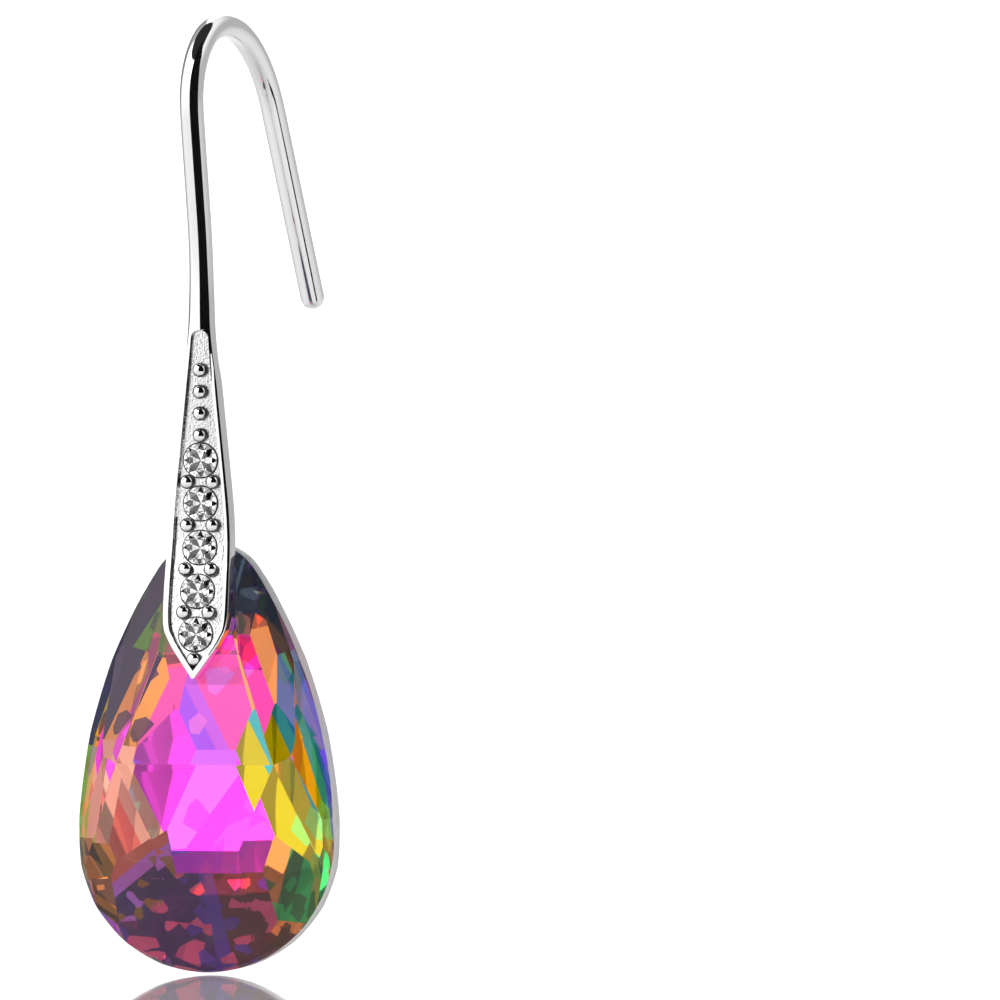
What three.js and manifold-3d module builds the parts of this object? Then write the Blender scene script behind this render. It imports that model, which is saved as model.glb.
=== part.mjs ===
// A drop earring: a round ear wire that widens into a long bail set with five cut stones, and a faceted
// pear-shaped crystal that hangs behind the bail's point on a hidden pin.
// Millimetres, +Z up, the earring's front faces -Y. The origin is the underside of the ear wire's crown,
// which is the line that bears on the ear.
import * as THREE from "three";
import { mergeVertices } from "three/addons/utils/BufferGeometryUtils.js";
import { ConvexGeometry } from "three/addons/geometries/ConvexGeometry.js";
import Module from "manifold-3d";

const wasm = await Module();
wasm.setup();

// Ear wire: its thickness and its two straight runs.
const WIRE = 1.12;
const FRONT_RUN = 5.1;
const REAR_RUN = 10.8;
// The wire's bends, as a bender makes them from the bail upwards: radius of its middle line, and its turn
// in degrees towards the back. The foot leans it forward and twists its plane a little to the right.
const FOOT_BEND = { radius: 23, turn: -10, twist: 9 };
const CROWN_BEND = { radius: 3.4, turn: 91.5, twist: 0 };
const SHOULDER_BEND = { radius: 6.1, turn: 37, twist: 0 };
const REAR_BEND = { radius: 8.0, turn: 33, twist: 0 };

// Bail: the flat tapered plate that the wire runs out into.
const BAIL_LENGTH = 17.5;
const BAIL_WIDTH = 3.1;
const BAIL_THICKNESS = 1.15;
const BAIL_POINT = 2.7;
const BAIL_TIP_WIDTH = 0.16;
const BAIL_POINT_THICKNESS = 0.8;
const BAIL_EASE = 1;
// The top of the bail over which its section turns from the wire's circle to a flat plate, as a share.
const BAIL_SQUARING = 0.24;
const SQUARE_POWER = 0.32;
const CHANNEL_DEPTH = 0.35;
const CHANNEL_RIM = 0.26;
const CHANNEL_TOP = 1.2;
const CHANNEL_ARCH = 0.3;
const CHANNEL_LEAST = 0.05;

// Round stones in the channel, and the bead grains that hold them.
const STONES = 5;
const STONE = 1.6;
const STONE_PITCH = 2.02;
const STONE_TABLE = 0.9;
const STONE_CROWN = 0.22;
const STONE_GIRDLE = 0.06;
const STONE_PAVILION = 0.55;
const STONE_RECESS = 0.04;
// Where a stone's smaller facets meet, as shares: up the crown, and in and down the pavilion.
const STAR_RISE = 0.64;
const HALF_REACH = 0.5;
const HALF_FALL = 0.56;
const STONE_CLEARANCE = 0.1;
const SEAT_BOTTOM = 0.5;
const BEAD = 0.68;
const BEAD_PROUD = 0.18;
const BEAD_GAP = 0.04;
const TOP_BEADS = 4;
const TOP_BEAD_PITCH = 1.02;
const LAST_STONE_RISE = 2.1;

// Crystal drop: a pear outline of three arcs, its girdle band, and how far each face stands proud of it.
const DROP_HEIGHT = 20.2;
const DROP_WIDTH = 12.3;
const DROP_TIP_RADIUS = 2.8;
const GIRDLE = 1.4;
const CROWN_RISE = 2.3;
const PAVILION_RISE = 3.0;
const CREASE_DOWN = 10.35;
const TABLE_CORNER = 3.8;
const RIDGE_DOWN = 10.2;
const RIDGE = 1.9;
const RIM_SLOPE_DEG = 56;
const RIM_DROP = 0.12;
const DROP_OVERLAP = 6.3;
const BAIL_GAP = 0.2;

// Hidden pin through the drop.
const PIN = 0.8;
const PIN_SEAT = 0.25;
const PIN_CLEARANCE = 0.12;
const PIN_HEAD = 1.7;
const PIN_HEAD_HEIGHT = 0.5;
const PIN_HEAD_GAP = 0.15;

// How finely round things are cut into flats.
const WIRE_SIDES = 16;
const STONE_SIDES = 16;
const BEAD_SIDES = 10;
const PIN_SIDES = 16;
const WIRE_END_DEGS = [30, 55, 75];
const BEND_STEP_DEG = 11;
const FOOT_STEPS = 4;
const OUTLINE_STEP_DEG = 7;
const ALONG_DEG = 90; // The direction of the drop's own long axis in the outline and the facets.
const BAIL_STEPS = 26;

const rad = THREE.MathUtils.degToRad;
const Z_AXIS = new THREE.Vector3(0, 0, 1);

// Solids and meshes.

// A closed geometry as a solid that can be joined and cut.
function solid(geometry) {
  const bare = geometry.clone();
  for (const name of Object.keys(bare.attributes)) {
    if (name !== "position") bare.deleteAttribute(name);
  }
  const merged = mergeVertices(bare, 1e-5);
  return new wasm.Manifold(
    new wasm.Mesh({
      numProp: 3,
      vertProperties: new Float32Array(merged.attributes.position.array),
      triVerts: new Uint32Array(merged.index.array),
    }),
  );
}

// A solid as a geometry with flat facets.
function geometryOf(body) {
  const { vertProperties, triVerts } = body.getMesh();
  const geometry = new THREE.BufferGeometry();
  geometry.setAttribute("position", new THREE.BufferAttribute(vertProperties, 3));
  geometry.setIndex(new THREE.BufferAttribute(triVerts, 1));
  const faceted = geometry.toNonIndexed();
  faceted.computeVertexNormals();
  return faceted;
}

function namedMesh(name, geometry, material) {
  const mesh = new THREE.Mesh(geometry, material);
  mesh.name = name;
  return mesh;
}

// A closed skin over a row of rings that all have the same number of points, with a flat cap at each end.
// The rings run anticlockwise as seen from the far end of the row.
function skin(rings) {
  const sides = rings[0].length;
  const points = rings.flat();
  const faces = [];
  for (let ring = 0; ring + 1 < rings.length; ring += 1) {
    for (let side = 0; side < sides; side += 1) {
      const a = ring * sides + side;
      const b = ring * sides + ((side + 1) % sides);
      faces.push(a, b, b + sides, a, b + sides, a + sides);
    }
  }
  const last = (rings.length - 1) * sides;
  for (let side = 1; side + 1 < sides; side += 1) {
    faces.push(0, side + 1, side, last, last + side, last + side + 1);
  }
  const geometry = new THREE.BufferGeometry().setFromPoints(points);
  geometry.setIndex(faces);
  return geometry;
}

// Ear wire.

// The wire's middle line from the bail's top to the end of its rear run. heading is the direction of
// travel, measured from straight up towards the back, and twist turns the wire's plane about +Z.
function wireLine() {
  const stations = [];
  const at = new THREE.Vector3();
  const now = { heading: 0, twist: 0 };
  const backward = () => new THREE.Vector3(Math.sin(rad(now.twist)), Math.cos(rad(now.twist)), 0);
  const mark = () => stations.push({ at: at.clone(), heading: rad(now.heading), back: backward() });
  const advance = (length, heading) => {
    at.addScaledVector(backward(), length * Math.sin(rad(heading)));
    at.addScaledVector(Z_AXIS, length * Math.cos(rad(heading)));
  };
  const bend = ({ radius, turn, twist }, steps) => {
    const step = turn / steps;
    for (let i = 0; i < steps; i += 1) {
      now.twist += twist / steps;
      advance(2 * radius * Math.sin(rad(Math.abs(step) / 2)), now.heading + step / 2);
      now.heading += step;
      mark();
    }
  };
  mark();
  bend(FOOT_BEND, FOOT_STEPS);
  advance(FRONT_RUN, now.heading);
  mark();
  for (const part of [CROWN_BEND, SHOULDER_BEND, REAR_BEND]) {
    bend(part, Math.max(1, Math.round(part.turn / BEND_STEP_DEG)));
  }
  advance(REAR_RUN - WIRE / 2, now.heading);
  mark();
  return stations;
}

// A ring across the metal: a circle where square is 0, and nearly a rectangle where it is 1. back is the
// level direction in the wire's plane.
function ring(at, { heading, back }, width, depth, square) {
  const aside = new THREE.Vector3().crossVectors(back, Z_AXIS);
  const front = back.clone().multiplyScalar(-Math.cos(heading)).addScaledVector(Z_AXIS, Math.sin(heading));
  const power = THREE.MathUtils.lerp(1, SQUARE_POWER, square);
  const swell = (value) => Math.sign(value) * Math.abs(value) ** power;
  return Array.from({ length: WIRE_SIDES }, (_, side) => {
    const angle = (2 * Math.PI * side) / WIRE_SIDES;
    return at
      .clone()
      .addScaledVector(aside, (width / 2) * swell(Math.cos(angle)))
      .addScaledVector(front, (depth / 2) * swell(Math.sin(angle)));
  }).reverse();
}

// The bail stands on x = 0, straight below the wire's foot. The crown is the highest point of the wire.
const wire = wireLine();
const crown = wire.reduce((top, { at }) => (at.z > top.z ? at : top), wire[0].at);
const foot = new THREE.Vector3(0, -crown.y, WIRE / 2 - crown.z);
const bailTip = foot.z - BAIL_LENGTH;
const dropTop = bailTip + DROP_OVERLAP;

// Pear outline of the crystal drop.

// The belly is a half circle, the tip a small arc, and each flank an arc that meets both without a corner.
// Angles are from +X towards +Z. Heights are below the drop's top.
const belly = { x: 0, z: DROP_WIDTH / 2 - DROP_HEIGHT, radius: DROP_WIDTH / 2 };
const tip = { x: 0, z: -DROP_TIP_RADIUS, radius: DROP_TIP_RADIUS };
const tipToBelly = tip.z - belly.z;
const radiusStep = belly.radius - tip.radius;
const flankReach = (tipToBelly ** 2 - radiusStep ** 2) / (2 * radiusStep);
const flank = { x: -flankReach, z: belly.z, radius: flankReach + belly.radius };
const FLANK_END = THREE.MathUtils.radToDeg(Math.atan2(tipToBelly, flankReach));

// The arc of the outline's right half whose outward direction is deg.
function outlineArc(deg) {
  if (deg < 0) return belly;
  return deg < FLANK_END ? flank : tip;
}

// How far the outline reaches in the direction deg, which is taken on the right half.
function outlineReach(deg) {
  const arc = outlineArc(deg);
  return arc.x * Math.cos(rad(deg)) + arc.z * Math.sin(rad(deg)) + arc.radius;
}

function outlineShape() {
  const right = [];
  const spans = [
    { from: -ALONG_DEG, to: 0, steps: Math.ceil(ALONG_DEG / OUTLINE_STEP_DEG) },
    { from: 0, to: FLANK_END, steps: Math.ceil((3 * FLANK_END) / OUTLINE_STEP_DEG / 2) },
    { from: FLANK_END, to: ALONG_DEG, steps: Math.ceil((ALONG_DEG - FLANK_END) / (2 * OUTLINE_STEP_DEG)) },
  ];
  for (const { from, to, steps } of spans) {
    const arc = outlineArc((from + to) / 2);
    for (let i = 0; i < steps; i += 1) {
      const angle = rad(from + ((to - from) * i) / steps);
      const point = new THREE.Vector2(Math.cos(angle), Math.sin(angle)).multiplyScalar(arc.radius);
      right.push(point.add(new THREE.Vector2(arc.x, arc.z)));
    }
  }
  const left = right.slice(1).reverse();
  return new THREE.Shape([
    ...right,
    new THREE.Vector2(0, 0),
    ...left.map(({ x, y }) => new THREE.Vector2(-x, y)),
  ]);
}

// Facets of the drop. Each is ground flat: toward is the direction that it faces round the outline, slope
// its fall from the girdle's plane, and lift its height over the girdle's edge where it leaves the outline.
// A facet that doesn't face straight up or down has a twin on the left.
const CROWN_FACETS = [
  { toward: ALONG_DEG, slope: 15.5, lift: 0.04 },
  { toward: 60, slope: 19.5, lift: 0.1 },
  { toward: -62, slope: 18, lift: 0.14 },
  { toward: -ALONG_DEG, slope: 16, lift: 0.07 },
];
// The lift that takes a facet through a point: how far it is aside and below the top, and how far it stands
// proud of the girdle's edge.
function facetThrough({ toward, slope }, { aside, down, proud }) {
  const inward = outlineReach(toward) - aside * Math.cos(rad(toward)) + down * Math.sin(rad(toward));
  return { toward, slope, lift: proud - inward * Math.tan(rad(slope)) };
}

// These five meet in the point at the crease's end: the two halves of the table and the three side facets.
const CORNER_FACETS = [
  { toward: ALONG_DEG, slope: 9 },
  { toward: -ALONG_DEG, slope: 8 },
  { toward: 32.5, slope: 33.5 },
  { toward: -6, slope: 38 },
  { toward: -42.5, slope: 22 },
].map((facet) => facetThrough(facet, { aside: TABLE_CORNER, down: CREASE_DOWN, proud: CROWN_RISE }));
// On the back two broad facets meet in a short ridge, and a large kite on either side runs to its end.
const RIDGE_FACETS = [
  { toward: ALONG_DEG, slope: 12 },
  { toward: -ALONG_DEG, slope: 12 },
  { toward: 0, slope: 26 },
].map((facet) => facetThrough(facet, { aside: RIDGE / 2, down: RIDGE_DOWN, proud: PAVILION_RISE }));
const PAVILION_FACETS = [
  { toward: ALONG_DEG, slope: 22, lift: -0.1 },
  { toward: -ALONG_DEG, slope: 22, lift: -0.1 },
  { toward: 45, slope: 22, lift: 0.4 },
  { toward: -45, slope: 22, lift: 0.3 },
  { toward: 29, slope: 37, lift: 0 },
  { toward: 17, slope: 37, lift: 0 },
  { toward: 5, slope: 37, lift: 0 },
  { toward: -8, slope: 37, lift: 0 },
  { toward: -26, slope: 37, lift: 0 },
  { toward: 62, slope: 32, lift: 0 },
  { toward: -64, slope: 30, lift: -0.05 },
];
// The narrow bevels along both edges of the girdle.
const RIM_FACETS = [-80, -60, -40, -20, -3, 8, 17, 26, 36, 62].map((toward) => ({
  toward,
  slope: RIM_SLOPE_DEG,
  lift: -RIM_DROP,
}));

// One facet cut: all that stands proud of the facet's plane is taken away. side is -1 on the front and
// 1 on the back, and mirror is -1 for the twin on the left.
function cutFacet(body, { toward, slope, lift }, side, mirror) {
  const normal = new THREE.Vector3(
    mirror * Math.cos(rad(toward)) * Math.sin(rad(slope)),
    side * Math.cos(rad(slope)),
    Math.sin(rad(toward)) * Math.sin(rad(slope)),
  );
  const edge = outlineReach(toward);
  const onPlane = new THREE.Vector3(
    mirror * Math.cos(rad(toward)) * edge,
    side * (GIRDLE / 2 + lift),
    Math.sin(rad(toward)) * edge,
  );
  const size = 3 * DROP_HEIGHT;
  const wheel = new THREE.BoxGeometry(size, size, size);
  wheel.applyQuaternion(new THREE.Quaternion().setFromUnitVectors(Z_AXIS, normal));
  const middle = normal.clone().multiplyScalar(size / 2 + onPlane.dot(normal));
  wheel.translate(middle.x, middle.y, middle.z);
  return body.subtract(solid(wheel));
}

// How far the drop's front stands proud of its girdle on the middle line, at a height below its top.
function crownProud(down) {
  const upper = [CROWN_FACETS[0], CORNER_FACETS[0]];
  const fromTop = upper.map(({ slope, lift }) => lift + down * Math.tan(rad(slope)));
  return Math.max(0, Math.min(...fromTop));
}

// Bail.

// Half of the bail's outline, from the wire's foot down to its point. down is a share of BAIL_LENGTH, and
// wide a share of the step from the wire's thickness to BAIL_WIDTH.
const BAIL_TAPER = [
  { down: 0.0, wide: 0.05 },
  { down: 0.09, wide: 0.12 },
  { down: 0.26, wide: 0.39 },
  { down: 0.47, wide: 0.76 },
  { down: 0.58, wide: 0.92 },
  { down: 0.7, wide: 1.0 },
];
// The point: down is a share of BAIL_POINT above the tip, and wide a share of BAIL_WIDTH.
const BAIL_END = [
  { up: 1.0, wide: 1.0 },
  { up: 0.66, wide: 0.82 },
  { up: 0.34, wide: 0.47 },
];

// The arch that closes the channel at its top: up is a share of CHANNEL_ARCH, and wide a share of the
// channel's width there.
const CHANNEL_ARCH_ROWS = [
  { up: 0.5, wide: 0.85 },
  { up: 1.0, wide: 0.4 },
];

function bailOutline() {
  const corners = BAIL_TAPER.map(
    ({ down, wide }) =>
      new THREE.Vector2((WIRE + (BAIL_WIDTH - WIRE) * wide) / 2, foot.z - down * BAIL_LENGTH),
  );
  corners.push(
    ...BAIL_END.map(({ up, wide }) => new THREE.Vector2((BAIL_WIDTH * wide) / 2, bailTip + up * BAIL_POINT)),
  );
  corners.push(new THREE.Vector2(BAIL_TIP_WIDTH / 2, bailTip));
  return new THREE.SplineCurve(corners).getPoints(BAIL_STEPS);
}

const outline = bailOutline();

// The bail's back hangs straight down from the wire, and then follows the crystal's front a small gap
// before it. Its turns are eased over BAIL_EASE either way.
function bailBack(z) {
  const back = (height) => dropMiddle - GIRDLE / 2 - crownProud(dropTop - height) - BAIL_GAP;
  return (back(z - BAIL_EASE) + 2 * back(z) + back(z + BAIL_EASE)) / 4;
}

// The bail thins towards its point.
function bailDepth(z) {
  const share = THREE.MathUtils.smoothstep(z, bailTip, bailTip + 2 * BAIL_POINT);
  return THREE.MathUtils.lerp(BAIL_POINT_THICKNESS, BAIL_THICKNESS, share);
}

const bailFace = (z) => bailBack(z) - bailDepth(z);

// The angle by which the bail's face leans out at its lower end.
function faceLean(z) {
  const reach = STONE / 2;
  return Math.atan2(bailFace(z + reach) - bailFace(z - reach), 2 * reach);
}

// Turns a piece built with its axis along +Z so that it stands on the bail's face, in by depth.
function placeOnFace(object, x, z, depth) {
  const lean = faceLean(z);
  object.rotation.x = Math.PI / 2 - lean;
  object.position.set(x, bailFace(z) + depth * Math.cos(lean), z - depth * Math.sin(lean));
  object.updateMatrix();
  return object;
}

// The same for a geometry that is joined to the metal or cuts it.
function cutterOnFace(geometry, x, z, depth) {
  return solid(geometry.clone().applyMatrix4(placeOnFace(new THREE.Object3D(), x, z, depth).matrix));
}

const dropMiddle = foot.y + BAIL_THICKNESS / 2 + BAIL_GAP + GIRDLE / 2;
const lastStone = bailTip + LAST_STONE_RISE;
const stoneHeights = Array.from({ length: STONES }, (_, i) => lastStone + (STONES - 1 - i) * STONE_PITCH);

// The wire and the bail in one skin: bail point, bail, wire foot, bends, rear run and its round end.
function metalRings() {
  const rings = [];
  const square = (z) => THREE.MathUtils.clamp((foot.z - z) / (BAIL_SQUARING * BAIL_LENGTH), 0, 1);
  for (const point of outline.slice(1).reverse()) {
    const share = square(point.y);
    const depth = THREE.MathUtils.lerp(WIRE, bailDepth(point.y), share);
    const middle = THREE.MathUtils.lerp(foot.y, bailBack(point.y) - bailDepth(point.y) / 2, share);
    rings.push(ring(new THREE.Vector3(0, middle, point.y), wire[0], 2 * point.x, depth, share));
  }
  const flare = 2 * outline[0].x - WIRE;
  wire.forEach((station, i) => {
    const width = WIRE + flare * Math.max(0, 1 - i / FOOT_STEPS);
    rings.push(ring(station.at.clone().add(foot), station, width, WIRE, 0));
  });
  const end = wire[wire.length - 1];
  const onward = end.back.clone().multiplyScalar(Math.sin(end.heading));
  onward.addScaledVector(Z_AXIS, Math.cos(end.heading));
  for (const deg of WIRE_END_DEGS) {
    const at = end.at.clone().add(foot);
    at.addScaledVector(onward, (WIRE / 2) * Math.sin(rad(deg)));
    const width = WIRE * Math.cos(rad(deg));
    rings.push(ring(at, end, width, width, 0));
  }
  return rings;
}

// The sunk channel: the bail's outline moved in by the rim, from the arch at its top to its inner point.
function channelCutter() {
  const inner = [];
  outline.forEach((point, i) => {
    const before = outline[Math.max(i - 1, 0)];
    const after = outline[Math.min(i + 1, outline.length - 1)];
    const along = new THREE.Vector2().subVectors(after, before).normalize();
    const half = point.x + CHANNEL_RIM * along.y;
    const z = point.y - CHANNEL_RIM * along.x;
    if (half > CHANNEL_LEAST && z < foot.z - CHANNEL_TOP - CHANNEL_ARCH) inner.push({ half, z });
  });
  const first = inner[0];
  for (const { up, wide } of CHANNEL_ARCH_ROWS) {
    inner.unshift({ half: wide * first.half, z: foot.z - CHANNEL_TOP - CHANNEL_ARCH * (1 - up) });
  }
  const rings = inner.reverse().map(({ half, z }) => {
    const floor = bailFace(z) + CHANNEL_DEPTH;
    const mouth = bailFace(z) - BAIL_THICKNESS;
    return [
      new THREE.Vector3(-half, mouth, z),
      new THREE.Vector3(half, mouth, z),
      new THREE.Vector3(half, floor, z),
      new THREE.Vector3(-half, floor, z),
    ];
  });
  return solid(skin(rings));
}

const girdleDepth = STONE_RECESS + STONE_CROWN;

// The hole under a stone: a short straight wall at the girdle, and a cone for the pavilion.
function seatCutter(z) {
  const wall = STONE / 2 + STONE_CLEARANCE;
  const bottom = STONE_GIRDLE + STONE_PAVILION + STONE_CLEARANCE;
  const profile = [
    new THREE.Vector2(0, -bottom),
    new THREE.Vector2(SEAT_BOTTOM / 2, -bottom),
    new THREE.Vector2(wall, -STONE_GIRDLE - STONE_CLEARANCE),
    new THREE.Vector2(wall, girdleDepth + STONE_CLEARANCE),
    new THREE.Vector2(0, girdleDepth + STONE_CLEARANCE),
  ];
  const cutter = new THREE.LatheGeometry(profile, STONE_SIDES).rotateX(Math.PI / 2);
  return cutterOnFace(cutter, 0, z, girdleDepth);
}

// Where the bead grains stand: a row above the first stone, a pair between neighbours, one below the last.
function beadPlaces() {
  const reach = (STONE + BEAD) / 2 + BEAD_GAP;
  const places = [];
  for (let i = 0; i < TOP_BEADS; i += 1) {
    places.push({ x: 0, z: stoneHeights[0] + reach + i * TOP_BEAD_PITCH });
  }
  const aside = Math.sqrt(reach ** 2 - (STONE_PITCH / 2) ** 2);
  for (const z of stoneHeights.slice(1)) {
    for (const x of [-aside, aside]) places.push({ x, z: z + STONE_PITCH / 2 });
  }
  places.push({ x: 0, z: lastStone - reach });
  return places;
}

const pinHeight = (stoneHeights[STONES - 1] + stoneHeights[STONES - 2]) / 2;

// A round bar along Y between two depths.
function bar(radius, from, to, z) {
  const length = to - from;
  return new THREE.CylinderGeometry(radius, radius, length, PIN_SIDES).translate(0, (from + to) / 2, z);
}

const pinFront = bailBack(pinHeight) - PIN_SEAT;

function earHook() {
  let body = solid(skin(metalRings())).subtract(channelCutter());
  for (const { x, z } of beadPlaces()) {
    const grain = new THREE.SphereGeometry(BEAD / 2, BEAD_SIDES, BEAD_SIDES / 2 + 1).rotateX(Math.PI / 2);
    body = body.add(cutterOnFace(grain, x, z, BEAD / 2 - BEAD_PROUD));
  }
  for (const z of stoneHeights) body = body.subtract(seatCutter(z));
  const pinSeat = bar(PIN / 2 + PIN_CLEARANCE, pinFront, pinFront + 2 * PIN_SEAT, pinHeight);
  return geometryOf(body.subtract(solid(pinSeat)));
}

// Stones.

// A round stone with its girdle's upper edge in the plane z = 0: an eight-sided table, eight kites and
// their points, a sixteen-sided girdle, and a pavilion of eight mains that meet in a point.
function roundStone() {
  const points = [];
  const circle = (count, radius, z, turn) => {
    for (let i = 0; i < count; i += 1) {
      const angle = (2 * Math.PI * (i + turn)) / count;
      points.push(new THREE.Vector3(radius * Math.cos(angle), radius * Math.sin(angle), z));
    }
  };
  const radius = STONE / 2;
  const kites = STONE_SIDES / 2;
  circle(kites, STONE_TABLE / 2, STONE_CROWN, 0);
  circle(kites, (radius + STONE_TABLE / 2) / 2, STAR_RISE * STONE_CROWN, 0.5);
  circle(STONE_SIDES, radius, 0, 0);
  circle(STONE_SIDES, radius, -STONE_GIRDLE, 0);
  circle(kites, HALF_REACH * radius, -STONE_GIRDLE - HALF_FALL * STONE_PAVILION, 0.5);
  points.push(new THREE.Vector3(0, 0, -STONE_GIRDLE - STONE_PAVILION));
  return new ConvexGeometry(points);
}

// Crystal drop and its pin.

function crystalDrop() {
  const blank = new THREE.ExtrudeGeometry(outlineShape(), {
    depth: CROWN_RISE + GIRDLE + PAVILION_RISE,
    bevelEnabled: false,
  });
  blank.rotateX(Math.PI / 2).translate(0, GIRDLE / 2 + PAVILION_RISE, 0);
  let body = solid(blank);
  for (const facet of [...CROWN_FACETS, ...CORNER_FACETS, ...RIM_FACETS]) {
    body = cutFacet(body, facet, -1, 1);
    if (Math.abs(facet.toward) < ALONG_DEG) body = cutFacet(body, facet, -1, -1);
  }
  for (const facet of [...RIDGE_FACETS, ...PAVILION_FACETS, ...RIM_FACETS]) {
    body = cutFacet(body, facet, 1, 1);
    if (Math.abs(facet.toward) < ALONG_DEG) body = cutFacet(body, facet, 1, -1);
  }
  const hole = bar(PIN / 2 + PIN_CLEARANCE, -DROP_WIDTH, DROP_WIDTH, pinHeight - dropTop);
  return geometryOf(body.subtract(solid(hole)));
}

// How far the drop's back stands behind its middle plane on the pin's line.
function pavilionProud(down) {
  const upper = [PAVILION_FACETS[0], RIDGE_FACETS[0]];
  return GIRDLE / 2 + Math.min(...upper.map(({ slope, lift }) => lift + down * Math.tan(rad(slope))));
}

function dropPin() {
  const back = dropMiddle + pavilionProud(dropTop - pinHeight + PIN_HEAD / 2) + PIN_HEAD_GAP;
  const front = pinFront + PIN_CLEARANCE;
  const shank = solid(bar(PIN / 2, front, back + PIN_HEAD_HEIGHT / 2, pinHeight));
  const head = solid(bar(PIN_HEAD / 2, back, back + PIN_HEAD_HEIGHT, pinHeight));
  return geometryOf(shank.add(head));
}

// Finishes.
const silver = new THREE.MeshStandardMaterial({ color: 0xdfe1e4, roughness: 0.08, metalness: 1 });
const clear = new THREE.MeshStandardMaterial({
  color: 0xf4f6f8,
  roughness: 0.02,
  metalness: 0,
  flatShading: true,
});
const coated = new THREE.MeshStandardMaterial({
  color: 0xe23cc8,
  roughness: 0.03,
  metalness: 0.35,
  flatShading: true,
});

// The pieces stand on the bail's middle plane, and the group moves the wire's crown over the origin.
const earring = new THREE.Group();
earring.position.x = -crown.x;
earring.add(namedMesh("ear_hook", earHook(), silver));

const stoneGeometry = roundStone();
stoneHeights.forEach((z, i) => {
  const stone = namedMesh(`stone_${i + 1}`, stoneGeometry, clear);
  earring.add(placeOnFace(stone, 0, z, girdleDepth));
});

const crystal = namedMesh("crystal_drop", crystalDrop(), coated);
crystal.position.set(0, dropMiddle, dropTop);
earring.add(crystal);
earring.add(namedMesh("drop_pin", dropPin(), silver));

export default earring;
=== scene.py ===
import bmesh
import bpy
import numpy as np
from mathutils import Matrix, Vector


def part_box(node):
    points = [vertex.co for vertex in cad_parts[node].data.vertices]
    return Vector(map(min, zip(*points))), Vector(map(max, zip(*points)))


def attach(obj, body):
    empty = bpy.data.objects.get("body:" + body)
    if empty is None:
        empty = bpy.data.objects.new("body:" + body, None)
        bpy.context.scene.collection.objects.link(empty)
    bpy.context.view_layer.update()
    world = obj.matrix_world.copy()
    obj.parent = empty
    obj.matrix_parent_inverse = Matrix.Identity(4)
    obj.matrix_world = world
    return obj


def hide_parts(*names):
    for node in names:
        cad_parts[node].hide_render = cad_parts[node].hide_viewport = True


# Looks of a drop earring: a polished ear wire and bail set with five round stones and bead grains, and a
# pear-shaped crystal whose coated back throws patches of colour. Metres, +Z up, the front faces -Y.
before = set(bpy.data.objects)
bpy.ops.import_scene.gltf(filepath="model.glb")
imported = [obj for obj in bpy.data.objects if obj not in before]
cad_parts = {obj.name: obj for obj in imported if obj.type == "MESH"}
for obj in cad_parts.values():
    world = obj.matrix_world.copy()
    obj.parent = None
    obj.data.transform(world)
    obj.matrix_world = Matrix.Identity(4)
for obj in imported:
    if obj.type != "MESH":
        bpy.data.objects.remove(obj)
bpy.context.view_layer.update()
scene = bpy.context.scene

# Crystal drop. A pear of clear crystal glass, ground flat facet by facet on front and back, with a film of
# metal on its back facets whose colour differs from facet to facet and runs in bands over each. A hole near
# its top takes the pin.
DROP_LOW, DROP_HIGH = (np.array(corner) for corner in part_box("crystal_drop"))
PIN_LOW, PIN_HIGH = (np.array(corner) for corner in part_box("drop_pin"))
PIN_MIDDLE = (PIN_LOW + PIN_HIGH) / 2
DROP_MIDDLE_X = (DROP_LOW[0] + DROP_HIGH[0]) / 2
DROP_TOP = DROP_HIGH[2]
DROP_HEIGHT = 0.0202
DROP_WIDTH = 0.0123
DROP_TIP_RADIUS = 0.0028
GIRDLE = 0.0014
CROWN_RISE = 0.0023
PAVILION_RISE = 0.0030
DROP_MIDDLE_Y = DROP_LOW[1] + CROWN_RISE + GIRDLE / 2
CREASE_DOWN = 0.01035
TABLE_CORNER = 0.0038
RIDGE_DOWN = 0.0102
RIDGE = 0.0019
RIDGE_SOFTENING = 0.03e-3
HOLE = 0.00104


def pear_arcs():
    """Middle, radius and first direction of the outline's three arcs on its right half: belly, flank, tip.
    The flank's circle touches the other two from inside."""
    belly, tip = DROP_WIDTH / 2 - DROP_HEIGHT, -DROP_TIP_RADIUS
    apart, step = tip - belly, DROP_WIDTH / 2 - DROP_TIP_RADIUS
    back = (apart**2 - step**2) / (2 * step)
    join = np.arctan2(apart, back)
    return [
        (0.0, belly, DROP_WIDTH / 2, -np.pi / 2),
        (-back, belly, back + DROP_WIDTH / 2, 0.0),
        (0.0, tip, DROP_TIP_RADIUS, join),
    ]


def pear_arc(angle):
    """The arc whose outward direction is angle, which lies on the right half."""
    return [arc for arc in pear_arcs() if angle >= arc[3] - 1e-9][-1]


def pear_reach(angle):
    """How far the outline reaches in a direction: the arc's middle along it, and its radius."""
    x, z, radius, _ = pear_arc(angle)
    return x * np.cos(angle) + z * np.sin(angle) + radius


def pear_outline(count):
    """Points round the pear, anticlockwise as seen from the front: each arc's middle plus its radius along
    evenly spread directions, and the same mirrored."""
    angles = np.linspace(-np.pi / 2, np.pi / 2, count)
    arcs = np.array([pear_arc(angle)[:3] for angle in angles])
    right = arcs[:, :2] + arcs[:, 2:] * np.column_stack([np.cos(angles), np.sin(angles)])
    left = right[-2:0:-1] * [-1, 1]
    return np.vstack([right, left])


def facet(toward, slope, lift):
    """One ground facet: the direction it faces round the outline, its slope, how far the outline reaches
    that way, and the facet's height over the girdle's edge there."""
    return np.radians(toward), np.radians(slope), pear_reach(np.radians(toward)), lift


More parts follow.
